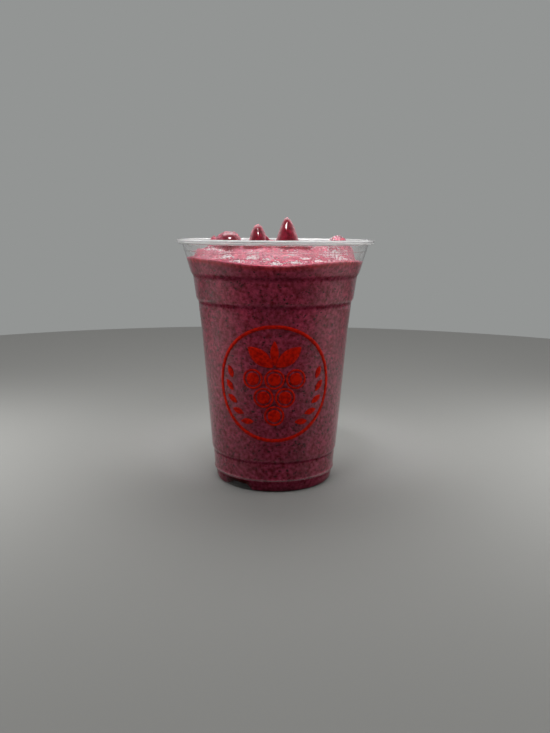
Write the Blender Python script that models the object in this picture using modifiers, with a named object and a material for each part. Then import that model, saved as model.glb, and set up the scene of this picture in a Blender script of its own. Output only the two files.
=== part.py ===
"""Berry smoothie in a clear moulded takeaway cup, at its real size.

Metres, +Z up. The origin is the middle of the foot, on the surface that the cup stands on.
The front of the cup, where the drink stands lowest, is -Y.
"""

import math

import bmesh
import bpy
from mathutils import Vector, noise

MM = 0.001
TURN = 2 * math.pi

# Driving dimensions: a 98 mm rim is the standard lid size for cups of this kind
CUP_HEIGHT = 121.8 * MM
RIM_RADIUS = 49.0 * MM
SHEET = 0.5 * MM
GAP = 0.3 * MM
SIDES = 64

# Rolled lip: the sheet turns outwards over the top and curls under, in a flat oval with its outer side raised
LIP_HALF_WIDTH, LIP_HALF_HEIGHT = 1.55 * MM, 1.15 * MM
LIP_TILT = 0.35 * MM
LIP_START_DEG, LIP_END_DEG, LIP_STEPS = -110.0, 180.0, 8

# Outer wall below the lip, from the top down: (radius, height)
LID_BAND = ((45.95 * MM, 118.9 * MM), (42.1 * MM, 105.7 * MM))
GRIP_BAND = ((41.0 * MM, 104.0 * MM), (39.5 * MM, 93.0 * MM))
UPPER_GROOVE = (38.4 * MM, 91.3 * MM)
BODY = ((38.3 * MM, 88.6 * MM), (37.0 * MM, 77.6 * MM), (32.2 * MM, 16.9 * MM))
LOWER_GROOVE = (31.45 * MM, 15.4 * MM)
HEEL_BAND = ((31.45 * MM, 13.8 * MM), (30.9 * MM, 6.2 * MM))
FOOT_WALL = ((30.2 * MM, 4.9 * MM), (29.7 * MM, 1.0 * MM))
# The foot ring stands on the table, and the base inside it is pushed up
FOOT_RING = ((28.8 * MM, 0.0), (27.4 * MM, 0.0))
BASE_PUNT = ((26.6 * MM, 0.8 * MM), (25.0 * MM, 3.4 * MM), (23.6 * MM, 3.9 * MM))
BASE_CENTRE = 4.3 * MM

# The drink's level round the wall: its mean, and waves as (number round the cup, height, direction
# in degrees)
LEVEL = 112.2 * MM
LEVEL_WAVES = ((1, 0.8 * MM, 144.0), (2, 0.3 * MM, 3.0), (3, 0.45 * MM, -122.0), (4, 0.45 * MM, 178.0))

# The mound that stands over the level: at the sides and back a flat ledge along the wall and a steep edge,
# at the front one long slope from the wall
MOUND_TOP = 117.5 * MM
MOUND_BACK_DROP = 1.4 * MM
MOUND_LEDGE = 2.8 * MM
MOUND_EDGE = 2.6 * MM
MOUND_FRONT_SLOPE = 27.0 * MM
# How fast the front's long slope gives way to the steep edge round the cup, and how far to the front
# it starts
FRONT_SHARPNESS, FRONT_START = 1.3, 0.1

# Relief on the mound: lumps, and a spiral fold left by the pour, which the lumps bend
LUMP_HEIGHT = 0.7 * MM
LUMP_SIZE = 9.0 * MM
FOLD_HEIGHT = 0.9 * MM
FOLD_PITCH = 13.0 * MM
FOLD_BEND = 0.25
FOLD_MEAN = 0.4
# The relief fades out up a peak, and is gone this far over the mound
PEAK_CLEAR = 5.0 * MM
TOP_RINGS = 32

# Peaks pulled up by the pour, and last the low swell that they stand on: place of the foot, height of the
# tip, reach to the left, right and each way in depth, how full the flanks are (1 is a cone, 2 is round),
# and how far the tip leans to the right and to the back
PEAKS = (
    (5.6 * MM, 2.0 * MM, 133.2 * MM, 6.3 * MM, 7.2 * MM, 6.6 * MM, 1.66, 0.2 * MM, 2.4 * MM),
    (-8.1 * MM, -2.8 * MM, 129.4 * MM, 5.9 * MM, 5.3 * MM, 6.0 * MM, 2.0, -0.5 * MM, 1.8 * MM),
    (-4.9 * MM, -3.6 * MM, 124.2 * MM, 3.0 * MM, 4.8 * MM, 2.2 * MM, 1.4, 0.0, 0.0),
    (-23.0 * MM, -5.0 * MM, 125.3 * MM, 9.8 * MM, 7.4 * MM, 7.5 * MM, 3.2, 0.8 * MM, 0.8 * MM),
    (-30.6 * MM, -5.5 * MM, 123.6 * MM, 2.4 * MM, 2.4 * MM, 4.0 * MM, 2.0, 0.0, 0.0),
    (30.8 * MM, -7.0 * MM, 123.8 * MM, 7.5 * MM, 6.0 * MM, 8.0 * MM, 2.2, 0.0, 0.0),
    (-2.0 * MM, 20.0 * MM, 121.2 * MM, 13.0 * MM, 11.0 * MM, 7.5 * MM, 2.2, -1.0 * MM, 0.0),
    (-1.0 * MM, -4.0 * MM, 119.2 * MM, 31.0 * MM, 30.0 * MM, 12.0 * MM, 2.0, 0.0, 0.0),
)
# Share of a peak's reach over which its tip is rounded
PEAK_TIP_ROUNDING = 0.15
# Share of a peak's height over which its foot flares out into the mound
PEAK_FLARE = 0.16

# Air pocket that the thick drink leaves behind the foot's wall, on the front left
POCKET_MIDDLE_DEG = 232.0
POCKET_HALF_DEG = 18.0
POCKET_END_SHARPNESS = 1.6
POCKET_ROOF = 4.9 * MM
POCKET_DEPTH_SHARE, POCKET_RISE = 0.45, 1.8 * MM

CUP_COLOUR = (0.86, 0.89, 0.89)
DRINK_COLOUR = (0.27, 0.075, 0.11)


def clear_scene():
    for obj in list(bpy.data.objects):
        bpy.data.objects.remove(obj, do_unlink=True)


def new_collection(name):
    collection = bpy.data.collections.new(name)
    bpy.context.scene.collection.children.link(collection)
    return collection


def new_material(name, colour, roughness, alpha=1.0):
    material = bpy.data.materials.new(name)
    material.use_nodes = True
    shader = material.node_tree.nodes["Principled BSDF"]
    shader.inputs["Base Color"].default_value = (*colour, 1.0)
    shader.inputs["Roughness"].default_value = roughness
    shader.inputs["Metallic"].default_value = 0.0
    shader.inputs["Alpha"].default_value = alpha
    return material


def smooth(t):
    """A step from 0 to 1 with level ends."""
    t = min(1.0, max(0.0, t))
    return t * t * (3 - 2 * t)


def lip_arc():
    """The curl's inner face, from its free end under the lip, over the top, to the wall."""
    across, up = LIP_HALF_WIDTH - SHEET, LIP_HALF_HEIGHT - SHEET
    centre = (RIM_RADIUS - LIP_HALF_WIDTH, CUP_HEIGHT - SHEET - math.hypot(up, LIP_TILT))
    points = []
    for step in range(LIP_STEPS + 1):
        share = step / LIP_STEPS
        angle = math.radians(LIP_START_DEG + (LIP_END_DEG - LIP_START_DEG) * share)
        height = centre[1] + up * math.sin(angle) + LIP_TILT * math.cos(angle)
        points.append((centre[0] + across * math.cos(angle), height))
    return points


def outer_wall():
    """The sheet's outer face below the lip, from the top down to the middle of the base."""
    return [
        *LID_BAND,
        *GRIP_BAND,
        UPPER_GROOVE,
        *BODY,
        LOWER_GROOVE,
        *HEEL_BAND,
        *FOOT_WALL,
        *FOOT_RING,
        *BASE_PUNT,
        (0.0, BASE_CENTRE),
    ]


def inset_line(points, distance):
    """The open line moved inwards by distance, with its corners mitred."""
    moved = []
    for i, (radius, height) in enumerate(points):
        normals = []
        for a, b in ((i - 1, i), (i, i + 1)):
            if a < 0 or b >= len(points):
                continue
            run, drop = points[b][0] - points[a][0], points[b][1] - points[a][1]
            length = math.hypot(run, drop)
            normals.append((drop / length, -run / length))
        across = (sum(n[0] for n in normals), sum(n[1] for n in normals))
        size = math.hypot(*across)
        across = (across[0] / size, across[1] / size)
        mitre = distance / (across[0] * normals[0][0] + across[1] * normals[0][1])
        moved.append((radius + across[0] * mitre, height + across[1] * mitre))
    moved[-1] = (0.0, moved[-1][1])
    return moved


def turned(name, points, collection):
    """A profile, run from its top down, turned round Z by a Screw modifier."""
    mesh = bpy.data.meshes.new(name)
    obj = bpy.data.objects.new(name, mesh)
    collection.objects.link(obj)
    profile = bmesh.new()
    corners = [profile.verts.new((radius, 0.0, height)) for radius, height in points]
    for a, b in zip(corners, corners[1:]):
        profile.edges.new((a, b))
    profile.to_mesh(mesh)
    profile.free()
    screw = obj.modifiers.new("Turn", "SCREW")
    screw.axis = "Z"
    screw.steps = SIDES
    screw.render_steps = SIDES
    screw.use_merge_vertices = True
    screw.merge_threshold = 0.00001
    screw.use_smooth_shade = True
    return obj


def made_mesh(obj):
    """The object with its modifiers applied."""
    graph = bpy.context.evaluated_depsgraph_get()
    mesh = bpy.data.meshes.new_from_object(obj.evaluated_get(graph))
    obj.modifiers.clear()
    obj.data = mesh
    return obj


def make_cup(collection):
    cup = turned("cup", lip_arc() + outer_wall(), collection)
    shell = cup.modifiers.new("Sheet", "SOLIDIFY")
    shell.thickness = SHEET
    shell.offset = -1.0
    shell.use_even_offset = True
    cup.data.materials.append(new_material("clear_pet", CUP_COLOUR, 0.05, 0.3))
    return cup


def drink_side():
    """The drink's outline against the cup, from above its level down to the middle of the base."""
    return inset_line(outer_wall(), SHEET + GAP)


def side_radius(side, height):
    """How far out the drink reaches at a height on the lid band."""
    (top_radius, top), (low_radius, low) = side[0], side[1]
    return low_radius + (top_radius - low_radius) * (height - low) / (top - low)


def level_at(angle):
    """The height of the drink where it meets the wall."""
    waves = (size * math.cos(count * angle - math.radians(deg)) for count, size, deg in LEVEL_WAVES)
    return LEVEL + sum(waves)


def peak_rise(away, fullness):
    """How far up a peak a point is, from 0 beyond its flared foot to nearly 1 at its round tip."""
    rise = 1 - away**fullness
    flare = max(PEAK_FLARE - abs(rise), 0.0)
    return max(rise, 0.0) + flare**2 / (4 * PEAK_FLARE)


def peaks_at(x, y, mound):
    """(height over the mound, lean in x, lean in y) that the peaks give at a point."""
    height, lean_x, lean_y = 0.0, 0.0, 0.0
    for px, py, tip, left, right, depth, fullness, right_lean, back_lean in PEAKS:
        reach = right if x > px else left
        away = math.hypot((x - px) / reach, (y - py) / depth, PEAK_TIP_ROUNDING)
        rise = peak_rise(away, fullness)
        height = max(height, (tip - mound) * rise)
        lean_x += right_lean * rise
        lean_y += back_lean * rise**2
    return height, lean_x, lean_y


def relief_at(x, y):
    """Lumps and the spiral fold that the pour leaves on the mound."""
    lumps = noise.noise(Vector((x, y, 0.0)) / LUMP_SIZE)
    winding = math.hypot(x, y) / FOLD_PITCH - math.atan2(y, x) / TURN
    fold = (0.5 + 0.5 * math.cos(TURN * (winding + FOLD_BEND * lumps))) ** 2
    return LUMP_HEIGHT * lumps + FOLD_HEIGHT * (fold - FOLD_MEAN)


def surface_at(x, y, edge):
    """(height, lean in x and y) of the drink's top, where edge is its radius in that direction."""
    angle, out = math.atan2(y, x), math.hypot(x, y)
    to_front = smooth(-math.sin(angle) * FRONT_SHARPNESS - FRONT_START)
    ledge = MOUND_LEDGE * (1 - to_front)
    slope = MOUND_EDGE + (MOUND_FRONT_SLOPE - MOUND_EDGE) * to_front
    share = smooth((edge - out - ledge) / slope)
    level = level_at(angle)
    crown = MOUND_TOP - MOUND_BACK_DROP * smooth(y / edge)
    height, lean_x, lean_y = peaks_at(x, y, crown)
    relief = relief_at(x, y) * (1 - smooth(height / PEAK_CLEAR))
    return level + share * (crown - level + relief + height), lean_x * share, lean_y * share


def pocket_at(angle):
    """How far the air pocket in the foot has opened, from 0 to 1."""
    away = math.degrees(angle) % 360 - POCKET_MIDDLE_DEG
    return smooth(POCKET_END_SHARPNESS * (1 - abs(away) / POCKET_HALF_DEG))


def make_drink(collection):
    """A turned body with a level top, whose top is then raised to the poured surface."""
    side = drink_side()
    edge = side_radius(side, LEVEL)
    pocket_back = BASE_PUNT[1][0]
    top = [(edge * ring / TOP_RINGS, LEVEL) for ring in range(TOP_RINGS + 1)]
    drink = made_mesh(turned("smoothie", top + side[1:], collection))
    for vertex in drink.data.vertices:
        x, y, z = vertex.co
        angle, out = math.atan2(y, x), math.hypot(x, y)
        if abs(z - LEVEL) < 0.001 * MM:
            level_edge = side_radius(side, level_at(angle))
            share = out / edge
            x = share * level_edge * math.cos(angle)
            y = share * level_edge * math.sin(angle)
            height, lean_x, lean_y = surface_at(x, y, level_edge)
            vertex.co = (x + lean_x, y + lean_y, height)
        elif z < POCKET_ROOF and out > pocket_back:
            pocket = pocket_at(angle)
            kept = pocket_back + (out - pocket_back) * (1 - POCKET_DEPTH_SHARE * pocket)
            vertex.co = (kept * math.cos(angle), kept * math.sin(angle), z + POCKET_RISE * pocket)
    drink.data.materials.append(new_material("berry_drink", DRINK_COLOUR, 0.35))
    return drink


def main():
    clear_scene()
    collection = new_collection("berry_smoothie")
    make_cup(collection)
    make_drink(collection)


main()
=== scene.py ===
"""Looks of a berry smoothie in its clear takeaway cup: the cup, the blended drink and the print."""

import math
import random

import bmesh
import bpy
from mathutils import Matrix, Vector, noise


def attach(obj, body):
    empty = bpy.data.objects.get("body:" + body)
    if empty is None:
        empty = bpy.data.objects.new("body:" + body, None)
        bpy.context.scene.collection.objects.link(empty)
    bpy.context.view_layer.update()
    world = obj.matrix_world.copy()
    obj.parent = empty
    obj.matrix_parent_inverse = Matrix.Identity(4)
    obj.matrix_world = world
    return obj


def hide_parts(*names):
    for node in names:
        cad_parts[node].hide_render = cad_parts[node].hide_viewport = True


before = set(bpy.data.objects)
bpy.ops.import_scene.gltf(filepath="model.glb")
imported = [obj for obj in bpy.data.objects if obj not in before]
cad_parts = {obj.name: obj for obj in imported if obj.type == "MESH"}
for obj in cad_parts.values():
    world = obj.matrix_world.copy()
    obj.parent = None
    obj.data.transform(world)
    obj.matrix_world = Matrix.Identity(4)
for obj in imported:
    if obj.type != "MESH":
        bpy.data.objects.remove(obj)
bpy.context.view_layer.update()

MM = 0.001
TURN = 2 * math.pi

# The cup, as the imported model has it: (radius, height) of its outer face
CUP_HEIGHT = 121.8 * MM
RIM_RADIUS = 49.0 * MM
SHEET = 0.5 * MM
LIP_HALF_WIDTH, LIP_HALF_HEIGHT = 1.55 * MM, 1.15 * MM
LIP_START_DEG, LIP_END_DEG, LIP_STEPS = -110.0, 180.0, 30
# The curl's outer side stands higher than its inner side by twice this
LIP_TILT = 0.35 * MM
LID_BAND = ((45.95 * MM, 118.9 * MM), (42.1 * MM, 105.7 * MM))
LID_BEAD_HEIGHT, LID_BEAD_HALF, LID_BEAD_OUT = 116.4 * MM, 0.55 * MM, 0.16 * MM
HEEL_BEAD = ((31.12 * MM, 6.5 * MM), (31.12 * MM, 6.0 * MM), (30.75 * MM, 5.7 * MM))
GRIP_BAND = ((41.0 * MM, 104.0 * MM), (39.5 * MM, 93.0 * MM))
UPPER_GROOVE = (38.4 * MM, 91.3 * MM)
BODY = ((38.3 * MM, 88.6 * MM), (37.0 * MM, 77.6 * MM), (32.2 * MM, 16.9 * MM))
LOWER_GROOVE = (31.45 * MM, 15.4 * MM)
HEEL_BAND = ((31.45 * MM, 13.8 * MM), (30.9 * MM, 6.2 * MM))
FOOT_WALL = ((30.2 * MM, 4.9 * MM), (29.7 * MM, 1.0 * MM))
FOOT_RING = ((28.8 * MM, 0.0), (27.4 * MM, 0.0))
BASE_PUNT = ((26.6 * MM, 0.8 * MM), (25.0 * MM, 3.4 * MM), (23.6 * MM, 3.9 * MM))
BASE_CENTRE = 4.3 * MM
CUP_SIDES = 192
# Points closer than this are one, at a pole or a seam
POLE_MERGE = 0.0005 * MM
# A corner is eased over this length, but over no more than this share of the line beside it
CORNER_RADIUS, CORNER_SHARE, CORNER_STEPS = 0.7 * MM, 0.45, 4
# How clear the sheet is by height: hazy bands on the edges of the lip and on the bead on the heel are
# painted highlights, and the drink has left a thin film on the wall over its level
CLEARNESS_AND_HIGHLIGHT_BANDS = (
    (5.9 * MM, 1.0),
    (6.1 * MM, 0.86),
    (6.5 * MM, 0.86),
    (6.8 * MM, 1.0),
    (112.6 * MM, 1.0),
    (114.0 * MM, 0.985),
    (120.05 * MM, 0.985),
    (120.15 * MM, 0.1),
    (120.5 * MM, 0.1),
    (120.6 * MM, 0.97),
    (121.05 * MM, 0.97),
    (121.15 * MM, 0.1),
    (121.5 * MM, 0.1),
    (121.65 * MM, 0.75),
)

# The drink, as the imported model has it
LEVEL = 112.2 * MM
LEVEL_WAVES = ((1, 0.8 * MM, 144.0), (2, 0.3 * MM, 3.0), (3, 0.45 * MM, -122.0), (4, 0.45 * MM, 178.0))
MOUND_TOP = 117.5 * MM
MOUND_BACK_DROP = 1.4 * MM
MOUND_LEDGE = 2.8 * MM
MOUND_EDGE = 2.6 * MM
MOUND_FRONT_SLOPE = 27.0 * MM
FRONT_SHARPNESS, FRONT_START = 1.3, 0.1
LUMP_HEIGHT = 0.7 * MM
LUMP_SIZE = 9.0 * MM
FOLD_HEIGHT = 0.9 * MM
FOLD_PITCH = 13.0 * MM
FOLD_BEND, FOLD_MEAN = 0.25, 0.4
PEAK_CLEAR = 5.0 * MM
# A peak's own dark colour, painted shadow round its foot, ends between these shares of its reach
PEAK_COLOUR_ENDS = (0.95, 1.25)
# Between these heights the shaded mound gives way to the open peaks
PEAK_START, PEAK_OPEN = 119.5 * MM, 121.0 * MM
# Each peak: place (x, y), tip height, reach to the left, right and in depth, fullness, lean to the right
# and lean to the back, and how dark it is coloured, partly as denser drink and partly as painted shade
PEAKS = (
    (5.6 * MM, 2.0 * MM, 133.2 * MM, 6.3 * MM, 7.2 * MM, 6.6 * MM, 1.66, 0.2 * MM, 2.4 * MM, 1.0),
    (-8.1 * MM, -2.8 * MM, 129.4 * MM, 5.9 * MM, 5.3 * MM, 6.0 * MM, 2.0, -0.5 * MM, 1.8 * MM, 0.85),
    (-4.9 * MM, -3.6 * MM, 124.2 * MM, 3.0 * MM, 4.8 * MM, 2.2 * MM, 1.4, 0.0, 0.0, 0.2),
    (-23.0 * MM, -5.0 * MM, 125.3 * MM, 9.8 * MM, 7.4 * MM, 7.5 * MM, 3.2, 0.8 * MM, 0.8 * MM, 0.55),
    (-30.6 * MM, -5.5 * MM, 123.6 * MM, 2.4 * MM, 2.4 * MM, 4.0 * MM, 2.0, 0.0, 0.0, 0.3),
    (30.8 * MM, -7.0 * MM, 123.8 * MM, 7.5 * MM, 6.0 * MM, 8.0 * MM, 2.2, 0.0, 0.0, 0.0),
    (-2.0 * MM, 20.0 * MM, 121.2 * MM, 13.0 * MM, 11.0 * MM, 7.5 * MM, 2.2, -1.0 * MM, 0.0, 0.3),
    (-1.0 * MM, -4.0 * MM, 119.2 * MM, 31.0 * MM, 30.0 * MM, 12.0 * MM, 2.0, 0.0, 0.0, 0.0),
    # These three rise only a little: dark patches on the crown's front, painted shadows of the peaks' feet
    (-21.0 * MM, -9.0 * MM, 119.0 * MM, 5.0 * MM, 5.0 * MM, 5.0 * MM, 2.0, 0.0, 0.0, 1.0),
    (-9.0 * MM, -11.0 * MM, 119.2 * MM, 6.5 * MM, 7.0 * MM, 6.0 * MM, 2.0, 0.0, 0.0, 1.0),
    (7.5 * MM, -9.5 * MM, 119.2 * MM, 9.0 * MM, 10.0 * MM, 5.5 * MM, 2.0, 0.0, 0.0, 1.0),
)
PEAK_TIP_ROUNDING = 0.15
PEAK_FLARE = 0.16
# Level folds down the steep sides of the mound, as (pitch, depth)
SIDE_FOLDS = (1.9 * MM, 0.3 * MM)
# They start at this share of the radius and are full after that much more, and fade to front and back
SIDE_INNER, SIDE_EASE = 0.6, 0.2
SIDE_SHARPNESS, SIDE_START = 2.0, 0.9
# Relief fades out over this width beside the wall
EDGE_EASE = 2.0 * MM
POCKET_MIDDLE_DEG, POCKET_HALF_DEG, POCKET_END_SHARPNESS = 232.0, 18.0, 1.6
POCKET_ROOF, POCKET_DEPTH_SHARE, POCKET_RISE = 4.9 * MM, 0.45, 1.8 * MM
# The pocket is marked for its darker colour, a painted shade, by this much more than the deepest row under
# the level
POCKET_SHADE_MARK = 5.0
# It is at its darkest from this share of the mark on
POCKET_SHADE_SHARE = 0.7
DRINK_SIDES, TOP_RINGS = 240, 130
# The drink sinks this far into the sheet, so that no air shows between them
DRINK_SINK = 0.12 * MM

# Rows of points this far below the level, where light gets in at the drink's edge, and the gap under them
EDGE_ROWS = tuple(deep * MM for deep in (0.25, 0.5, 0.8, 1.2, 1.7, 2.3, 3.0, 4.0))
EDGE_GAP = 1.5 * MM
# Rows of points closer than this are one row
ROW_NEAR = 0.001 * MM

# Fine relief of the open top: foam lumps and pulp, as (size, height)
TOP_RELIEF = ((3.2 * MM, 0.3 * MM), (1.3 * MM, 0.14 * MM))

# Skin flecks and foam, scattered. Sizes are (the smallest, how much more the largest is, a power that is
# higher where large ones are rarer)
BODY_FLECKS, FLECK_LOW, FLECK_HIGH = 3000, 7.5 * MM, 108.5 * MM
FLECK_SIZES, FLECK_THICK = (0.26 * MM, 0.5 * MM, 2.0), 0.06 * MM
FLECK_LENGTHS, FLECK_WIDTHS = (0.8, 1.5), (0.5, 0.9)
TOP_FLECKS, TOP_FLECK_REACH, TOP_FLECK_LIMIT = 160, 40.5 * MM, 119.5 * MM
TOP_FLECK_SIZES, TOP_FLECK_LENGTH, TOP_FLECK_HEIGHT = (0.14 * MM, 0.34 * MM, 3), 1.3, 0.5
# Clusters of foam: centre (x, y), spread, bubbles
FOAM_CLUSTERS = (
    (-23 * MM, -27 * MM, 1.7 * MM, 90),
    (-25 * MM, -17 * MM, 1.5 * MM, 40),
    (-17 * MM, -34 * MM, 1.3 * MM, 44),
    (-10 * MM, -29 * MM, 1.9 * MM, 110),
    (-12 * MM, -22 * MM, 1.4 * MM, 40),
    (-4 * MM, -32 * MM, 1.0 * MM, 30),
    (1 * MM, -38 * MM, 1.6 * MM, 76),
    (9 * MM, -36 * MM, 1.7 * MM, 70),
    (14 * MM, -30 * MM, 1.2 * MM, 40),
    (7 * MM, -25 * MM, 1.3 * MM, 34),
    (20 * MM, -33 * MM, 1.4 * MM, 40),
    (29 * MM, -8 * MM, 2.6 * MM, 60),
    (29 * MM, -14 * MM, 2.8 * MM, 130),
    (28 * MM, -20 * MM, 3.0 * MM, 120),
    (-30 * MM, -13 * MM, 1.8 * MM, 30),
    (9 * MM, 27 * MM, 2.4 * MM, 80),
    (-20 * MM, 24 * MM, 2.4 * MM, 60),
)
# A cluster is this much narrower from front to back
CLUSTER_DEPTH = 0.7
LONE_BUBBLES, BUBBLE_REACH = 420, 41.0 * MM
BUBBLE_SIZES, BUBBLE_WIDTH, BUBBLE_HEIGHT = (0.22 * MM, 0.4 * MM, 2.5), 1.1, 0.5
# No bubbles stay beyond this radius, or where the drink is marked darker than this, as denser drink and
# painted shade
BUBBLE_LIMIT, BUBBLE_DARK_LIMIT = 42.0 * MM, 0.5
# How many balls are made at a time
BATCH = 60
SCATTER_SEED = 11

# Grooves round the cup, with painted shade as dark lines, the one at the foot last: (height, half width)
DARK_LINES = ((104.5 * MM, 1.7 * MM), (91.3 * MM, 1.5 * MM), (15.3 * MM, 0.9 * MM), (4.8 * MM, 1.5 * MM))
# Across a groove, in half widths: where it is fully light and where it is dark
GROOVE_PROFILE = ((-1.0, 1.0), (-0.3, 0.0), (0.3, 0.0), (1.0, 1.0))
# How light the painted shade leaves the foot, where a groove is 0 and the wall 1
FOOT_SHADE = 0.3
# How much the sheet bends light, and how much it seems to in a groove
PET_IOR, GROOVE_IOR = 1.62, 1.1
# Over these heights the drink behind the wall gives way to air
BARE_WALL = ((LEVEL + 1 * MM, 0.0), (LEVEL + 3 * MM, 1.0))
# The sheet's tone by height: painted shade, darker in the foot
SHEET_PAINTED_SHADE = ((2.6 * MM, 0.66), (5.2 * MM, 0.97))
# The drink is a little darker lower down
DRINK_TONE = ((22.0 * MM, 0.8), (85.0 * MM, 1.0))

# The print, centred on the front: a ring with a bunch of berries in it
PRINT_HEIGHT = 54.9 * MM
PRINT_RADIUS, PRINT_STROKE, PRINT_SIDES = 28.5 * MM, 1.7 * MM, 144
INK_LIFT, INK_FILM = 0.012 * MM, 0.04 * MM
BERRY_TOP, BERRY_PITCH = 2.6 * MM, 10.3 * MM
BERRY_RADIUS, BERRY_LINE, BERRY_MIDDLE = 4.9 * MM, 1.0 * MM, 3.1 * MM
# The rows of berries are closer than the berries in a row, by this share
BERRY_ROWS, ROW_SHARE = 3, 0.87
# Leaves as (start across, start up, length, width, lean in degrees)
SIDE_LEAF = (0.6 * MM, 8.4 * MM, 15.5 * MM, 7.0 * MM, 52)
TOP_LEAF = (0.0, 9.0 * MM, 12.0 * MM, 4.0 * MM, 0)
# The sprig's leaves stand on a circle, from one angle on by steps, and lean out by another
SPRIG_RADIUS, SPRIG_LEAVES, SPRIG_START_DEG, SPRIG_STEP_DEG, SPRIG_LEAN_DEG = 21.0 * MM, 5, 28, 17, 62
SPRIG_LEAF_LENGTH, SPRIG_LEAF_WIDTH = 6.6 * MM, 3.0 * MM
LEAF_FULLNESS, LEAF_POINT = 0.8, 0.04 * MM

# The camera stands where the photo was taken from, found from the cup's rim, rings and foot
CAMERA_BACK, CAMERA_UP, CAMERA_RIGHT = 374.6 * MM, 126.7 * MM, 0.25 * MM
CAMERA_DOWN_DEG, CAMERA_ROLL_DEG = 10.51, 0.36
CAMERA_LENS_MM, CAMERA_SENSOR_MM = 36.39, 36.0

FLOOR_RADIUS = 0.6

# The lamps, as (name, place, point that it faces, size, watts, fan in degrees, whether it shows as a
# reflection): one over the cup, a small one over its front, and at each side one for the floor and one for
# the cup's flank
LAMPS = (
    ("top_light", (0.0, 0.12, 0.42), (0.0, 0.0, 0.11), (0.3, 0.22), 0.58, 180.0, True),
    ("front_light", (-0.02, -0.13, 0.42), (0.0, 0.0, 0.135), (0.08, 0.035), 0.018, 26.0, True),
    ("side_light", (-0.37, 0.0, 0.2), (-0.365, 0.0, 0.0), (0.25, 0.45), 0.36, 95.0, False),
    ("flank_light", (-0.34, -0.07, 0.13), (0.0, 0.0, 0.065), (0.15, 0.15), 0.0135, 70.0, False),
    ("side_light", (0.37, 0.0, 0.2), (0.365, 0.0, 0.0), (0.25, 0.45), 0.36, 95.0, False),
    ("flank_light", (0.34, -0.07, 0.13), (0.0, 0.0, 0.065), (0.15, 0.15), 0.0135, 70.0, False),
)

# Settings of a mix of two colours, and of a colour times a tone. Both have the colours as inputs 6 and 7,
# and give output 2
COLOUR_MIX = {"data_type": "RGBA"}
COLOUR_TIMES = {"data_type": "RGBA", "blend_type": "MULTIPLY"}

# Brightness of the room by direction, from 0 at the camera's side through 0.5 at the sides to 1 behind
ROOM_GREYS = ((0.0, 0.04), (1.0, 0.2), (0.07, 0.06), (0.25, 0.3), (0.5, 0.75), (0.67, 0.65), (0.81, 0.3))


def linear(hex_colour):
    """A hex sRGB colour as linear RGBA."""
    parts = [int(hex_colour[i : i + 2], 16) / 255 for i in (1, 3, 5)]
    return (*(p / 12.92 if p <= 0.04045 else ((p + 0.055) / 1.055) ** 2.4 for p in parts), 1.0)


def smooth(t):
    """A step from 0 to 1 with level ends."""
    t = min(1.0, max(0.0, t))
    return t * t * (3 - 2 * t)


def feed(tree, node, inputs):
    """Gives a node its inputs, as values, hex colours or other nodes' outputs."""
    for socket, value in inputs.items():
        if isinstance(value, bpy.types.NodeSocket):
            tree.links.new(value, node.inputs[socket])
        else:
            node.inputs[socket].default_value = linear(value) if isinstance(value, str) else value


def add_node(tree, kind, inputs=None, **settings):
    """A node with its settings and its inputs."""
    node = tree.nodes.new(kind)
    for name, value in settings.items():
        setattr(node, name, value)
    feed(tree, node, inputs or {})
    return node


def new_material(name):
    """(material, its node tree, its Principled shader)."""
    material = bpy.data.materials.new(name)
    material.use_nodes = True
    return material, material.node_tree, material.node_tree.nodes["Principled BSDF"]


def placed(name, shape, material):
    """An object from a bmesh, linked to the scene."""
    mesh = bpy.data.meshes.new(name)
    shape.to_mesh(mesh)
    shape.free()
    mesh.materials.append(material)
    thing = bpy.data.objects.new(name, mesh)
    bpy.context.scene.collection.objects.link(thing)
    return thing


def new_piece(name, shape, material, slot, *replaced):
    """A finished piece from a bmesh, riding on the part's one body."""
    piece = placed(name, shape, material)
    piece.data.shade_smooth()
    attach(piece, "root")
    if replaced:
        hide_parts(*replaced)
    return piece


def lip_arc():
    """The curl's inner face, from its free end under the lip, over the top, to the wall."""
    across, up = LIP_HALF_WIDTH - SHEET, LIP_HALF_HEIGHT - SHEET
    centre = (RIM_RADIUS - LIP_HALF_WIDTH, CUP_HEIGHT - SHEET - math.hypot(up, LIP_TILT))
    points = []
    for step in range(LIP_STEPS + 1):
        angle = math.radians(LIP_START_DEG + (LIP_END_DEG - LIP_START_DEG) * step / LIP_STEPS)
        height = centre[1] + up * math.sin(angle) + LIP_TILT * math.cos(angle)
        points.append((centre[0] + across * math.cos(angle), height))
    return points


def lid_bead():
    """The small bead round the lid band, from its top down."""
    (top_radius, top), (low_radius, low) = LID_BAND
    points = []
    for along, out in ((1.0, 0.0), (0.4, 1.0), (-0.4, 1.0), (-1.0, 0.0)):
        height = LID_BEAD_HEIGHT + along * LID_BEAD_HALF
        share = (height - low) / (top - low)
        points.append((low_radius + (top_radius - low_radius) * share + out * LID_BEAD_OUT, height))
    return points


def rounded(points):
    """The line with each inner corner eased by a short curve."""
    line = [points[0]]
    for before, corner, after in zip(points, points[1:], points[2:]):
        ends = []
        for other in (before, after):
            length = math.hypot(other[0] - corner[0], other[1] - corner[1])
            share = min(CORNER_RADIUS / length, CORNER_SHARE)
            ends.append(tuple(at + (far - at) * share for at, far in zip(corner, other)))
        for step in range(CORNER_STEPS + 1):
            t = step / CORNER_STEPS
            weights = ((1 - t) ** 2, 2 * t * (1 - t), t * t)
            bend = (ends[0], corner, ends[1])
            line.append(tuple(sum(w * p[axis] for w, p in zip(weights, bend)) for axis in (0, 1)))
    return [*line, points[-1]]


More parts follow.
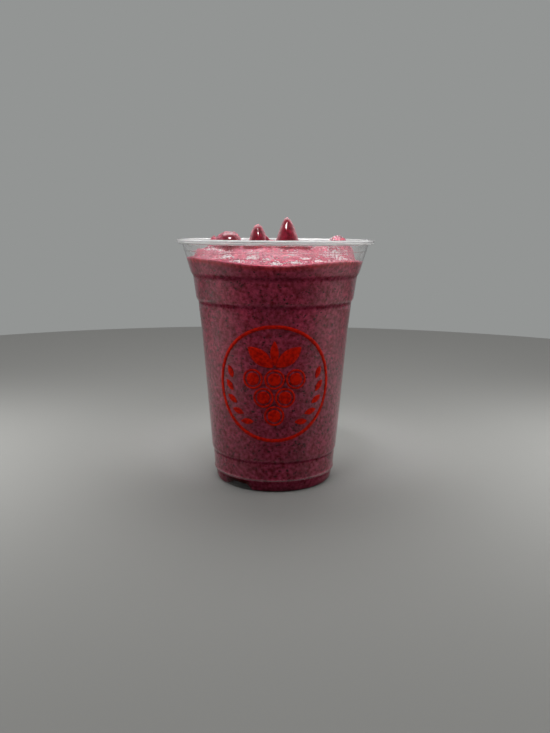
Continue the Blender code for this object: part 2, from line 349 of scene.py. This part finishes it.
def outer_wall():
    """The sheet's outer face below the lip, from the top down to the middle of the base."""
    return rounded([
        LID_BAND[0],
        *lid_bead(),
        LID_BAND[1],
        *GRIP_BAND,
        UPPER_GROOVE,
        *BODY,
        LOWER_GROOVE,
        HEEL_BAND[0],
        (HEEL_BAND[1][0], HEEL_BAND[1][1] + 1.0 * MM),
        *HEEL_BEAD,
        *FOOT_WALL,
        *FOOT_RING,
        *BASE_PUNT,
        (0.0, BASE_CENTRE),
    ])


def inset_line(points, distance):
    """The open line moved inwards by distance, with its corners mitred."""
    moved = []
    for i, (radius, height) in enumerate(points):
        normals = []
        for a, b in ((i - 1, i), (i, i + 1)):
            if a < 0 or b >= len(points):
                continue
            run, drop = points[b][0] - points[a][0], points[b][1] - points[a][1]
            length = math.hypot(run, drop)
            normals.append((drop / length, -run / length))
        across = (sum(n[0] for n in normals), sum(n[1] for n in normals))
        size = math.hypot(*across)
        across = (across[0] / size, across[1] / size)
        mitre = distance / (across[0] * normals[0][0] + across[1] * normals[0][1])
        moved.append((radius + across[0] * mitre, height + across[1] * mitre))
    if points[-1][0] == 0.0:
        moved[-1] = (0.0, moved[-1][1])
    return moved


def spun(points, sides):
    """A line of (radius, height) points turned once round Z, with its seam and poles closed."""
    shape = bmesh.new()
    corners = [shape.verts.new((radius, 0.0, height)) for radius, height in points]
    edges = [shape.edges.new(pair) for pair in zip(corners, corners[1:])]
    bmesh.ops.spin(
        shape,
        geom=corners + edges,
        cent=(0, 0, 0),
        axis=(0, 0, 1),
        angle=TURN,
        steps=sides,
        use_merge=True,
    )
    bmesh.ops.remove_doubles(shape, verts=shape.verts, dist=POLE_MERGE)
    bmesh.ops.recalc_face_normals(shape, faces=shape.faces)
    return shape


def make_cup(material):
    """Both faces of the sheet in one line, from the base's underside over the lip to its top face."""
    outer = lip_arc() + outer_wall()
    inner = inset_line(outer, SHEET)
    return new_piece("clear_cup", spun(outer[::-1] + inner, CUP_SIDES), material, "clear_cup", "cup")


def radius_on(line, height):
    """How far out a line that runs down is at a height."""
    for (radius_a, above), (radius_b, below) in zip(line, line[1:]):
        if below <= height <= above:
            return radius_b + (radius_a - radius_b) * (height - below) / max(above - below, 1e-9)
    return line[0][0]


def level_at(angle):
    """The height of the drink where it meets the wall."""
    waves = (size * math.cos(count * angle - math.radians(deg)) for count, size, deg in LEVEL_WAVES)
    return LEVEL + sum(waves)


def peak_rise(away, fullness):
    """How far up a peak a point is, from 0 beyond its flared foot to nearly 1 at its round tip."""
    rise = 1 - away**fullness
    flare = max(PEAK_FLARE - abs(rise), 0.0)
    return max(rise, 0.0) + flare**2 / (4 * PEAK_FLARE)


def peaks_at(x, y, mound):
    """(height over the mound, lean in x, lean in y, darkness as denser drink and painted shade) that the
    peaks give at a point.
    """
    height, lean_x, lean_y, density_and_shade = 0.0, 0.0, 0.0, 0.0
    for px, py, tip, left, right, depth, fullness, right_lean, back_lean, dense_and_shaded in PEAKS:
        reach = right if x > px else left
        away = math.hypot((x - px) / reach, (y - py) / depth, PEAK_TIP_ROUNDING)
        rise = peak_rise(away, fullness)
        height = max(height, (tip - mound) * rise)
        lean_x += right_lean * rise
        lean_y += back_lean * rise**2
        near, far = PEAK_COLOUR_ENDS
        density_and_shade = max(density_and_shade, dense_and_shaded * smooth((far - away) / (far - near)))
    return height, lean_x, lean_y, density_and_shade


def relief_at(x, y):
    """Lumps and the spiral fold that the pour leaves on the mound."""
    lumps = noise.noise(Vector((x, y, 0.0)) / LUMP_SIZE)
    winding = math.hypot(x, y) / FOLD_PITCH - math.atan2(y, x) / TURN
    fold = (0.5 + 0.5 * math.cos(TURN * (winding + FOLD_BEND * lumps))) ** 2
    return LUMP_HEIGHT * lumps + FOLD_HEIGHT * (fold - FOLD_MEAN)


def surface_at(x, y, edge):
    """(height, lean in x and y, darkness as denser drink and painted shade) of the top, where edge is its
    radius in that direction.
    """
    angle, out = math.atan2(y, x), math.hypot(x, y)
    to_front = smooth(-math.sin(angle) * FRONT_SHARPNESS - FRONT_START)
    ledge = MOUND_LEDGE * (1 - to_front)
    slope = MOUND_EDGE + (MOUND_FRONT_SLOPE - MOUND_EDGE) * to_front
    share = smooth((edge - out - ledge) / slope)
    level = level_at(angle)
    crown = MOUND_TOP - MOUND_BACK_DROP * smooth(y / edge)
    height, lean_x, lean_y, density_and_shade = peaks_at(x, y, crown)
    relief = relief_at(x, y) * (1 - smooth(height / PEAK_CLEAR))
    top = level + share * (crown - level + relief + height)
    return top, lean_x * share, lean_y * share, density_and_shade


def pocket_at(angle):
    """How far the air pocket in the foot has opened, from 0 to 1."""
    away = math.degrees(angle) % 360 - POCKET_MIDDLE_DEG
    return smooth(POCKET_END_SHARPNESS * (1 - abs(away) / POCKET_HALF_DEG))


def drink_side():
    """The drink's outline against the cup, from above its level down to the middle of the base."""
    return inset_line(outer_wall(), SHEET - DRINK_SINK)


def top_point(x, y, side):
    """(point, darkness as denser drink and painted shade) of the open top over a place, with its fine
    relief.
    """
    angle, out = math.atan2(y, x), math.hypot(x, y)
    edge = radius_on(side, level_at(angle))
    height, lean_x, lean_y, density_and_shade = surface_at(x, y, edge)
    pitch, depth = SIDE_FOLDS
    at_side = smooth(abs(math.cos(angle)) * SIDE_SHARPNESS - SIDE_START)
    steep = at_side * smooth((out / edge - SIDE_INNER) / SIDE_EASE)
    inside = smooth((edge - out) / EDGE_EASE)
    height += steep * depth * math.sin(TURN * height / pitch) * inside
    for size, tall in TOP_RELIEF:
        height += inside * tall * noise.noise(Vector((x, y, height)) / size)
    return Vector((x + lean_x, y + lean_y, height)), density_and_shade


def make_drink(material):
    """The body against the wall and the open top, marked by depth below the level and by how dark the peaks
    colour it, as denser drink and as painted shade.
    """
    side = drink_side()
    start = radius_on(side, LEVEL)
    pocket_back = BASE_PUNT[1][0]
    top = [(start * ring / TOP_RINGS, LEVEL) for ring in range(TOP_RINGS + 1)]
    edge = [(radius_on(side, LEVEL - deep), LEVEL - deep) for deep in EDGE_ROWS]
    below = [point for point in side if point[1] < LEVEL - EDGE_ROWS[-1] - EDGE_GAP]
    shape = spun(top + edge + below, DRINK_SIDES)
    mark = shape.verts.layers.float.new("below_level")
    dense_and_shaded = shape.verts.layers.float.new("dense_and_shade_mark")
    # The open top is marked -1, its edge 0, and the rows below by their depth in mm
    for vertex in shape.verts:
        x, y, z = vertex.co
        angle, out = math.atan2(y, x), math.hypot(x, y)
        if abs(z - LEVEL) < ROW_NEAR:
            reach = radius_on(side, level_at(angle))
            share = out / start
            x, y = share * reach * math.cos(angle), share * reach * math.sin(angle)
            vertex.co, vertex[dense_and_shaded] = top_point(x, y, side)
            vertex[mark] = -1.0 if out < start - ROW_NEAR else 0.0
        elif z > LEVEL - EDGE_ROWS[-1] - ROW_NEAR:
            height = z - LEVEL + level_at(angle)
            reach = radius_on(side, height)
            vertex.co = (reach * math.cos(angle), reach * math.sin(angle), height)
            vertex[mark] = (LEVEL - z) / MM
        else:
            vertex[mark] = EDGE_ROWS[-1] / MM
            if z < POCKET_ROOF and out > pocket_back:
                pocket = pocket_at(angle)
                # The pocket's mark gives it a painted shade
                vertex[mark] += POCKET_SHADE_MARK * pocket
                kept = pocket_back + (out - pocket_back) * (1 - POCKET_DEPTH_SHARE * pocket)
                vertex.co = (kept * math.cos(angle), kept * math.sin(angle), z + POCKET_RISE * pocket)
    bmesh.ops.recalc_face_normals(shape, faces=shape.faces)
    return new_piece("blended_drink", shape, material, "berry_drink", "smoothie")


def scattered(shape, places, create_ball, **facets):
    """Adds one small ball at each place, a batch at a time, which keeps the building quick."""
    for start in range(0, len(places), BATCH):
        batch = bmesh.new()
        for place in places[start : start + BATCH]:
            create_ball(batch, radius=1, matrix=place, **facets)
        mesh = bpy.data.meshes.new("batch")
        batch.to_mesh(mesh)
        batch.free()
        shape.from_mesh(mesh)
        bpy.data.meshes.remove(mesh)


def size_among(sizes, rng):
    """A size between the smallest and the largest, where small ones are more common."""
    least, more, power = sizes
    return least + more * rng.random() ** power


def place_within(radius, rng):
    """A place (x, y) in a circle, with each part of it as likely."""
    out, angle = radius * math.sqrt(rng.random()), rng.uniform(0, TURN)
    return out * math.cos(angle), out * math.sin(angle)


def make_body_flecks(material, rng):
    """Flecks of berry skin in the drink, against the wall."""
    side = drink_side()
    places = []
    for _ in range(BODY_FLECKS):
        height = rng.uniform(FLECK_LOW, FLECK_HIGH)
        angle = rng.uniform(0, TURN)
        size = size_among(FLECK_SIZES, rng)
        turn = Matrix.Rotation(angle, 4, "Z") @ Matrix.Translation((radius_on(side, height), 0, height))
        spin = Matrix.Rotation(rng.uniform(0, TURN), 4, "X")
        width = size * rng.uniform(*FLECK_WIDTHS)
        length = size * rng.uniform(*FLECK_LENGTHS)
        places.append(turn @ spin @ Matrix.Diagonal((FLECK_THICK, length, width, 1)))
    shape = bmesh.new()
    scattered(shape, places, bmesh.ops.create_icosphere, subdivisions=1)
    return new_piece("berry_skin_flecks", shape, material, "berry_drink")


def make_top_flecks(material, rng):
    """Flecks of berry skin on the open top."""
    side = drink_side()
    places = []
    for _ in range(TOP_FLECKS):
        place = top_point(*place_within(TOP_FLECK_REACH, rng), side)[0]
        if place.z > TOP_FLECK_LIMIT:
            continue
        size = size_among(TOP_FLECK_SIZES, rng)
        turn = Matrix.Rotation(rng.uniform(0, TURN), 4, "Z")
        stretch = Matrix.Diagonal((size * TOP_FLECK_LENGTH, size, size * TOP_FLECK_HEIGHT, 1))
        places.append(Matrix.Translation(place) @ turn @ stretch)
    shape = bmesh.new()
    scattered(shape, places, bmesh.ops.create_icosphere, subdivisions=1)
    return new_piece("top_skin_flecks", shape, material, "berry_drink")


def make_bubbles(material, rng):
    """Foam bubbles half sunk in the open top, in clusters and some alone."""
    side = drink_side()
    places = []
    for x, y, spread, count in FOAM_CLUSTERS:
        for _ in range(count):
            places.append((rng.gauss(x, spread), rng.gauss(y, spread * CLUSTER_DEPTH)))
    for _ in range(LONE_BUBBLES):
        places.append(place_within(BUBBLE_REACH, rng))
    balls = []
    for x, y in places:
        if math.hypot(x, y) > BUBBLE_LIMIT:
            continue
        size = size_among(BUBBLE_SIZES, rng)
        place, density_and_shade = top_point(x, y, side)
        if density_and_shade > BUBBLE_DARK_LIMIT:
            continue
        wide, tall = size * BUBBLE_WIDTH, size * BUBBLE_HEIGHT
        balls.append(Matrix.Translation(place) @ Matrix.Diagonal((wide, wide, tall, 1)))
    shape = bmesh.new()
    scattered(shape, balls, bmesh.ops.create_uvsphere, u_segments=8, v_segments=6)
    return new_piece("foam_bubbles", shape, material, "berry_drink")


def flat_disc(shape, x, y, radius, sides=28):
    """A filled disc in the flat artwork, with points across it so that it can bend."""
    spread = Matrix.Translation((x, y, 0))
    made = bmesh.ops.create_circle(
        shape, cap_ends=True, cap_tris=True, segments=sides, radius=radius, matrix=spread
    )
    faces = {face for vertex in made["verts"] for face in vertex.link_faces}
    edges = {edge for face in faces for edge in face.edges}
    spokes = [edge for edge in edges if not edge.is_boundary]
    bmesh.ops.subdivide_edges(shape, edges=spokes, cuts=3, use_grid_fill=True)


def flat_ring(shape, x, y, radius, stroke, sides=36):
    """A ring in the flat artwork."""
    spread = Matrix.Translation((x, y, 0))
    loops = []
    for size in (radius, radius - stroke):
        made = bmesh.ops.create_circle(shape, segments=sides, radius=size, matrix=spread)
        loops.append({edge for vertex in made["verts"] for edge in vertex.link_edges})
    bmesh.ops.bridge_loops(shape, edges=list(loops[0] | loops[1]))


def flat_leaf(shape, x, y, length, width, lean_deg):
    """A pointed leaf that starts at a point and leans from upright."""
    made = bmesh.ops.create_grid(shape, x_segments=4, y_segments=14, size=0.5)
    for vertex in made["verts"]:
        along = vertex.co.y + 0.5
        half = width * math.sin(math.pi * along) ** LEAF_FULLNESS + LEAF_POINT
        vertex.co = Vector((vertex.co.x * half, along * length, 0))
    place = Matrix.Translation((x, y, 0)) @ Matrix.Rotation(math.radians(-lean_deg), 4, "Z")
    bmesh.ops.transform(shape, matrix=place, verts=made["verts"])


def wrap_on_wall(shape):
    """Bends the flat artwork round the front of the cup, and gives the ink its thickness."""
    wall = outer_wall()
    for vertex in shape.verts:
        height = PRINT_HEIGHT + vertex.co.y
        radius = radius_on(wall, height)
        angle = vertex.co.x / radius - TURN / 4
        out = radius + INK_LIFT
        vertex.co = (out * math.cos(angle), out * math.sin(angle), height)
    bmesh.ops.recalc_face_normals(shape, faces=shape.faces)
    for face in shape.faces:
        middle = face.calc_center_median()
        if face.normal.x * middle.x + face.normal.y * middle.y < 0:
            face.normal_flip()
    bmesh.ops.solidify(shape, geom=shape.faces[:], thickness=-INK_FILM)
    bmesh.ops.recalc_face_normals(shape, faces=shape.faces)


def make_print(material):
    """A generic badge: a ring round a bunch of berries with leaves over it and a sprig on each side."""
    shape = bmesh.new()
    flat_ring(shape, 0, 0, PRINT_RADIUS, PRINT_STROKE, PRINT_SIDES)
    for row in range(BERRY_ROWS):
        in_row = BERRY_ROWS - row
        for i in range(in_row):
            x = (i - (in_row - 1) / 2) * BERRY_PITCH
            y = BERRY_TOP - row * BERRY_PITCH * ROW_SHARE
            flat_ring(shape, x, y, BERRY_RADIUS, BERRY_LINE)
            flat_disc(shape, x, y, BERRY_MIDDLE)
    across, up, length, width, lean = SIDE_LEAF
    for side in (-1, 1):
        flat_leaf(shape, side * across, up, length, width, side * lean)
        for i in range(SPRIG_LEAVES):
            around = math.radians(-90 + side * (SPRIG_START_DEG + SPRIG_STEP_DEG * i))
            x, y = SPRIG_RADIUS * math.cos(around), SPRIG_RADIUS * math.sin(around)
            lean_out = 90 - math.degrees(around) - side * SPRIG_LEAN_DEG
            flat_leaf(shape, x, y, SPRIG_LEAF_LENGTH, SPRIG_LEAF_WIDTH, lean_out)
    flat_leaf(shape, *TOP_LEAF)
    wrap_on_wall(shape)
    return new_piece("front_print", shape, material, "berry_drink")


def by_height(tree, place, stops):
    """A value that follows (height, value) stops up the cup."""
    height = add_node(tree, "ShaderNodeSeparateXYZ", {0: place}).outputs["Z"]
    share = add_node(tree, "ShaderNodeMapRange", {"Value": height, "From Max": CUP_HEIGHT})
    ramp = add_node(tree, "ShaderNodeValToRGB", {"Fac": share.outputs[0]})
    marks = ramp.color_ramp.elements
    while len(marks) < len(stops):
        marks.new(0.5)
    for mark, (level, value) in zip(marks, stops):
        mark.position = level / CUP_HEIGHT
        mark.color = (value, value, value, 1.0)
    return ramp.outputs["Color"]


def groove_stops():
    """Stops that fall from 1 to 0 in each dark groove, and stay lower in the foot."""
    stops = [(0.0, FOOT_SHADE), (DARK_LINES[-1][0] - DARK_LINES[-1][1] * 0.9, FOOT_SHADE)]
    for line, half in sorted(DARK_LINES):
        for away, value in GROOVE_PROFILE:
            stops.append((line + away * half, value))
    return stops[:2] + stops[3:]


def clear_pet():
    """Clear thermoformed PET: hard gloss that bends what is behind it, with a faint ripple in it."""
    material, tree, shader = new_material("clear_pet_sheet")
    place = add_node(tree, "ShaderNodeTexCoord").outputs["Object"]
    # Painted shade on the reflection: the sheet shines less in the grooves, as they turn away from the
    # room's light
    gloss = by_height(tree, place, groove_stops())
    bending = {"Value": gloss, "To Min": GROOVE_IOR, "To Max": PET_IOR}
    # Painted shade on the reflection: below the drink's level the wall shines less where it is seen square
    # on
    facing = add_node(tree, "ShaderNodeLayerWeight", {"Blend": 0.5}).outputs["Facing"]
    aslant = add_node(
        tree, "ShaderNodeMapRange", {"Value": facing, "From Min": 0.08, "From Max": 0.22, "To Min": 0.3}
    )
    shine = {0: aslant.outputs[0], 1: by_height(tree, place, BARE_WALL)}
    # Ripples about 12 mm long, where the hot sheet was drawn over the mould
    ripple = add_node(tree, "ShaderNodeTexNoise", {"Vector": place, "Scale": 1 / (12 * MM), "Detail": 1.0})
    relief = {"Strength": 0.25, "Distance": 0.12 * MM, "Height": ripple.outputs["Fac"]}
    feed(tree, shader, {
        # Painted shade: the foot is in the cup's own shade
        "Base Color": by_height(tree, place, SHEET_PAINTED_SHADE),
        "Roughness": 0.03,
        "IOR": add_node(tree, "ShaderNodeMapRange", bending).outputs[0],
        "Transmission Weight": by_height(tree, place, CLEARNESS_AND_HIGHLIGHT_BANDS),
        "Specular Tint": add_node(tree, "ShaderNodeMath", shine, operation="MAXIMUM").outputs[0],
        "Normal": add_node(tree, "ShaderNodeBump", relief).outputs["Normal"],
        # The hazy bands, painted highlights on the lip, glow all through, as light runs along inside the
        # sheet
        "Subsurface Weight": 1.0,
        "Subsurface Radius": (1.0, 1.0, 1.0),
        "Subsurface Scale": 1.5 * MM,
    })
    # Lamps reach the drink through the sheet
    rays = add_node(tree, "ShaderNodeLightPath")
    open_way = add_node(tree, "ShaderNodeBsdfTransparent", {"Color": "#f6f6f6"})
    ways = {0: rays.outputs["Is Shadow Ray"], 1: shader.outputs[0], 2: open_way.outputs[0]}
    both = add_node(tree, "ShaderNodeMixShader", ways)
    tree.links.new(both.outputs[0], tree.nodes["Material Output"].inputs["Surface"])
    return material


def wall_colour(tree, cloud_share, pulp_share):
    """The drink against the wall: dark crimson pulp that shows between paler, airier drink."""
    body = add_node(tree, "ShaderNodeMix", {0: pulp_share, 6: "#810a24", 7: "#d74e73"}, **COLOUR_MIX)
    cloud_tone = add_node(tree, "ShaderNodeMapRange", {"Value": cloud_share, "To Min": 0.88, "To Max": 1.12})
    toned = {0: 1.0, 6: body.outputs[2], 7: cloud_tone.outputs[0]}
    return add_node(tree, "ShaderNodeMix", toned, **COLOUR_TIMES).outputs[2]


def open_top_colour(tree, place, dense_and_shade_mark, cloud_share, pulp_share):
    """The open top: a pink mound, and peaks darker as denser drink with less foam in it and as painted
    shade.
    """
    mound = add_node(tree, "ShaderNodeMix", {0: cloud_share, 6: "#c24c67", 7: "#d87c8e"}, **COLOUR_MIX)
    # Painted light: over the mound the peaks' edges are lighter where they turn aslant, as if thin enough
    # for the light behind them to come through
    facing = add_node(tree, "ShaderNodeLayerWeight", {"Blend": 0.5}).outputs["Facing"]
    edge_light_by_height = by_height(tree, place, ((PEAK_START, 0.0), (PEAK_OPEN, 0.85)))
    painted_edge_light = add_node(
        tree, "ShaderNodeMapRange", {"Value": facing, "From Min": 0.3, "From Max": 0.85, "To Max": edge_light_by_height}
    ).outputs[0]
    dense_and_shaded = add_node(tree, "ShaderNodeMix", {0: painted_edge_light, 6: "#7c1026", 7: "#f0b4be"}, **COLOUR_MIX)
    both = {0: dense_and_shade_mark, 6: mound.outputs[2], 7: dense_and_shaded.outputs[2]}
    top = add_node(tree, "ShaderNodeMix", both, **COLOUR_MIX)
    pulp_tone = add_node(tree, "ShaderNodeMapRange", {"Value": pulp_share, "To Min": 0.55, "To Max": 1.45})
    toned = {0: 1.0, 6: top.outputs[2], 7: pulp_tone.outputs[0]}
    return add_node(tree, "ShaderNodeMix", toned, **COLOUR_TIMES).outputs[2]


def drink_colour(tree, place, below, dense_and_shade_mark, pulp_share):
    """The drink's colour by its depth below the level, with painted light at its edge and painted shade in
    the air pocket, before the other tones.
    """
    # Clouds of more and less air, about 9 mm across
    cloud = add_node(tree, "ShaderNodeTexNoise", {"Vector": place, "Scale": 1 / (9 * MM), "Detail": 3.0})
    cloud_share = add_node(
        tree, "ShaderNodeMapRange", {"Value": cloud.outputs["Fac"], "From Min": 0.38, "From Max": 0.64}
    ).outputs[0]
    glow = add_node(tree, "ShaderNodeMix", {0: pulp_share, 6: "#a02432", 7: "#dc3c4a"}, **COLOUR_MIX)
    top = open_top_colour(tree, place, dense_and_shade_mark, cloud_share, pulp_share)
    deepest = EDGE_ROWS[-1] / MM
    colour = wall_colour(tree, cloud_share, pulp_share)
    # Painted light at the drink's edge, where light comes in: red for 2 mm under its level and pink at the
    # very top. The mark of the air pocket, for its painted shade, is deeper than any row
    for start, end, over in (
        (3.0, 0.9, glow.outputs[2]),
        (1.0, 0.35, top),
        (deepest, deepest + POCKET_SHADE_MARK * POCKET_SHADE_SHARE, "#601210"),
    ):
        share = add_node(tree, "ShaderNodeMapRange", {"Value": below, "From Min": start, "From Max": end})
        layers = {0: share.outputs[0], 6: colour, 7: over}
        colour = add_node(tree, "ShaderNodeMix", layers, **COLOUR_MIX).outputs[2]
    return colour


def drink_tones(tree, place):
    """Tones that darken the drink, one over the other: its seeds, the painted shade of the grooves, and a
    darker tone lower down.
    """
    # Blended seeds and bits of skin: darker dots about 2 mm apart
    seeds = add_node(
        tree, "ShaderNodeTexVoronoi", {"Vector": place, "Scale": 1 / (1.9 * MM)}, feature="F1"
    )
    seed_tone = add_node(
        tree,
        "ShaderNodeMapRange",
        {"Value": seeds.outputs["Distance"], "From Min": 0.12, "From Max": 0.3, "To Min": 0.5},
    )
    # Painted shade: the drink is in its own shade in each groove, which shows as a dark line round the cup
    groove = by_height(tree, place, groove_stops())
    groove_tone = add_node(tree, "ShaderNodeMapRange", {"Value": groove, "To Min": 0.5})
    return seed_tone.outputs[0], groove_tone.outputs[0], by_height(tree, place, DRINK_TONE)


def drink_shine(tree, place, below, dense_and_shade_mark):
    """Open and wet at the top; under the sheet there is no air to shine against."""
    opened = {"Value": below, "From Min": 0.0, "From Max": -0.5, "To Min": 0.03, "To Max": 0.6}
    shine = add_node(tree, "ShaderNodeMapRange", opened)
    # Painted shade: the darker drink low on the mound shines little, as if in the shade of its folds
    shade_end = by_height(tree, place, ((PEAK_START, 0.05), (PEAK_OPEN, 1.0)))
    kept = add_node(tree, "ShaderNodeMapRange", {"Value": dense_and_shade_mark, "To Min": 1.0, "To Max": shade_end})
    both = {0: shine.outputs[0], 1: kept.outputs[0]}
    return add_node(tree, "ShaderNodeMath", both, operation="MULTIPLY").outputs[0]


def blended_berries():
    """Thick blended berries: plum pulp mottled with air and skin, wet and pink where the top is open."""
    material, tree, shader = new_material("blended_berries")
    place = add_node(tree, "ShaderNodeTexCoord").outputs["Object"]
    below = add_node(tree, "ShaderNodeAttribute", attribute_name="below_level").outputs["Fac"]
    dense_and_shade_mark = add_node(tree, "ShaderNodeAttribute", attribute_name="dense_and_shade_mark").outputs["Fac"]
    # Pulp and fine bubbles, about 1.8 mm; the real ones are finer and are drawn coarse enough to show
    pulp = add_node(tree, "ShaderNodeTexNoise", {"Vector": place, "Scale": 1 / (1.8 * MM), "Detail": 3.0})
    pulp_share = add_node(
        tree, "ShaderNodeMapRange", {"Value": pulp.outputs["Fac"], "From Min": 0.3, "From Max": 0.7}
    ).outputs[0]
    colour = drink_colour(tree, place, below, dense_and_shade_mark, pulp_share)
    for tone in drink_tones(tree, place):
        colour = add_node(tree, "ShaderNodeMix", {0: 1.0, 6: colour, 7: tone}, **COLOUR_TIMES).outputs[2]
    wetness = add_node(tree, "ShaderNodeMapRange", {"Value": dense_and_shade_mark, "To Min": 0.24, "To Max": 0.12})
    relief = {"Strength": 0.6, "Distance": 0.15 * MM, "Height": pulp.outputs["Fac"]}
    feed(tree, shader, {
        "Base Color": colour,
        "Roughness": wetness.outputs[0],
        "IOR": 1.4,
        "Specular IOR Level": drink_shine(tree, place, below, dense_and_shade_mark),
        "Normal": add_node(tree, "ShaderNodeBump", relief).outputs["Normal"],
        "Subsurface Weight": 0.5,
        "Subsurface Radius": (1.0, 0.22, 0.28),
        "Subsurface Scale": 1.5 * MM,
    })
    return material


def berry_skin():
    """Shreds of berry skin: nearly black purple, with a wet shine."""
    material, tree, shader = new_material("berry_skin")
    place = add_node(tree, "ShaderNodeTexCoord").outputs["Object"]
    # Skins of lighter and darker berries, a few mm apart
    tone = add_node(tree, "ShaderNodeTexNoise", {"Vector": place, "Scale": 1 / (2.5 * MM), "Detail": 1.0})
    tones = {0: tone.outputs["Fac"], 6: "#28040c", 7: "#5a1428"}
    feed(tree, shader, {
        "Base Color": add_node(tree, "ShaderNodeMix", tones, **COLOUR_MIX).outputs[2],
        "Roughness": 0.4,
        "Specular IOR Level": 0.1,
    })
    return material


def berry_foam():
    """Foam bubbles: a thin wet film of the drink round air, very shiny, and nearly white, partly as painted
    glints.
    """
    material, tree, shader = new_material("berry_foam")
    place = add_node(tree, "ShaderNodeTexCoord").outputs["Object"]
    # From one bubble to the next, about 1 mm on, the film is pinker or whiter
    tone = add_node(tree, "ShaderNodeTexNoise", {"Vector": place, "Scale": 1 / (1.2 * MM), "Detail": 1.0})
    tone_share = add_node(
        tree, "ShaderNodeMapRange", {"Value": tone.outputs["Fac"], "From Min": 0.35, "From Max": 0.62}
    )
    tones = {0: tone_share.outputs[0], 6: "#fad0d8", 7: "#ffffff"}
    feed(tree, shader, {
        "Base Color": add_node(tree, "ShaderNodeMix", tones, **COLOUR_MIX).outputs[2],
        "Roughness": 0.12,
        "IOR": 1.4,
        "Coat Weight": 1.0,
        "Coat Roughness": 0.08,
    })
    return material


def print_ink():
    """Screen-printed ink: one flat orange-red coat, satin, a little thinner here and there."""
    material, tree, shader = new_material("orange_red_ink")
    place = add_node(tree, "ShaderNodeTexCoord").outputs["Object"]
    # Thinner patches about 1.5 mm across, from the screen's mesh
    coat = add_node(tree, "ShaderNodeTexNoise", {"Vector": place, "Scale": 1 / (1.5 * MM), "Detail": 2.0})
    coat_share = add_node(
        tree, "ShaderNodeMapRange", {"Value": coat.outputs["Fac"], "From Min": 0.35, "From Max": 0.6}
    )
    coats = {0: coat_share.outputs[0], 6: "#a80d08", 7: "#dc1c04"}
    feed(tree, shader, {
        "Base Color": add_node(tree, "ShaderNodeMix", coats, **COLOUR_MIX).outputs[2],
        "Roughness": 0.5,
        "Specular IOR Level": 0.05,
    })
    return material


def stage_floor():
    """A pale floor, larger than the view needs."""
    material, tree, shader = new_material("pale_studio_floor")
    feed(tree, shader, {"Base Color": "#9e9e9b", "Roughness": 0.8})
    shape = bmesh.new()
    bmesh.ops.create_circle(shape, cap_ends=True, segments=96, radius=FLOOR_RADIUS)
    placed("floor", shape, material)


def softbox(name, place, aim, size, watts, fan_deg, shines):
    """An oblong area lamp at a place, turned to a point."""
    lamp = bpy.data.lights.new(name, "AREA")
    lamp.shape = "RECTANGLE"
    lamp.size, lamp.size_y = size
    lamp.energy = watts
    lamp.spread = math.radians(fan_deg)
    box = bpy.data.objects.new(name, lamp)
    box.location = place
    box.rotation_euler = (Vector(aim) - Vector(place)).to_track_quat("-Z", "Y").to_euler()
    box.visible_camera = False
    box.visible_glossy = shines
    bpy.context.scene.collection.objects.link(box)


def studio_light():
    """The lamps, and the room round them, which shows in the cup as soft greys."""
    for lamp in LAMPS:
        softbox(*lamp)
    world = bpy.data.worlds.new("studio")
    bpy.context.scene.world = world
    world.use_nodes = True
    tree = world.node_tree
    tree.nodes.clear()
    direction = add_node(tree, "ShaderNodeTexCoord").outputs["Generated"]
    depth = add_node(tree, "ShaderNodeSeparateXYZ", {0: direction}).outputs["Y"]
    share = add_node(tree, "ShaderNodeMapRange", {"Value": depth, "From Min": -1.0})
    room = add_node(tree, "ShaderNodeValToRGB", {"Fac": share.outputs[0]})
    stops = room.color_ramp.elements
    for place, _ in ROOM_GREYS[2:]:
        stops.new(place)
    for stop, (place, grey) in zip(stops, sorted(ROOM_GREYS)):
        stop.position = place
        stop.color = (grey, grey, grey, 1.0)
    # Seen directly or through the cup, the wall behind is one plain grey
    rays = add_node(tree, "ShaderNodeLightPath")
    either = {0: rays.outputs["Is Camera Ray"], 1: rays.outputs["Is Transmission Ray"]}
    seen = add_node(tree, "ShaderNodeMath", either, operation="MAXIMUM")
    greys = {0: seen.outputs[0], 6: room.outputs["Color"], 7: "#939594"}
    shown = add_node(tree, "ShaderNodeMix", greys, **COLOUR_MIX)
    light = add_node(tree, "ShaderNodeBackground", {"Color": shown.outputs[2]})
    add_node(tree, "ShaderNodeOutputWorld", {"Surface": light.outputs[0]})


def photo_camera():
    """The camera at the photo's place, angle and framing."""
    lens = bpy.data.cameras.new("camera")
    lens.sensor_fit = "VERTICAL"
    lens.sensor_height = CAMERA_SENSOR_MM
    lens.lens = CAMERA_LENS_MM
    lens.clip_start = 0.01
    camera = bpy.data.objects.new("camera", lens)
    camera.location = (CAMERA_RIGHT, -CAMERA_BACK, CAMERA_UP)
    tilt = Matrix.Rotation(math.radians(90 - CAMERA_DOWN_DEG), 4, "X")
    roll = Matrix.Rotation(math.radians(CAMERA_ROLL_DEG), 4, "Z")
    camera.matrix_world = Matrix.Translation(camera.location) @ tilt @ roll
    bpy.context.scene.collection.objects.link(camera)
    bpy.context.scene.camera = camera


photo_camera()
stage_floor()
studio_light()
bpy.context.scene.view_settings.view_transform = "Standard"

rng = random.Random(SCATTER_SEED)
skin = berry_skin()
make_cup(clear_pet())
make_drink(blended_berries())
make_body_flecks(skin, rng)
make_top_flecks(skin, rng)
make_bubbles(berry_foam(), rng)
make_print(print_ink())
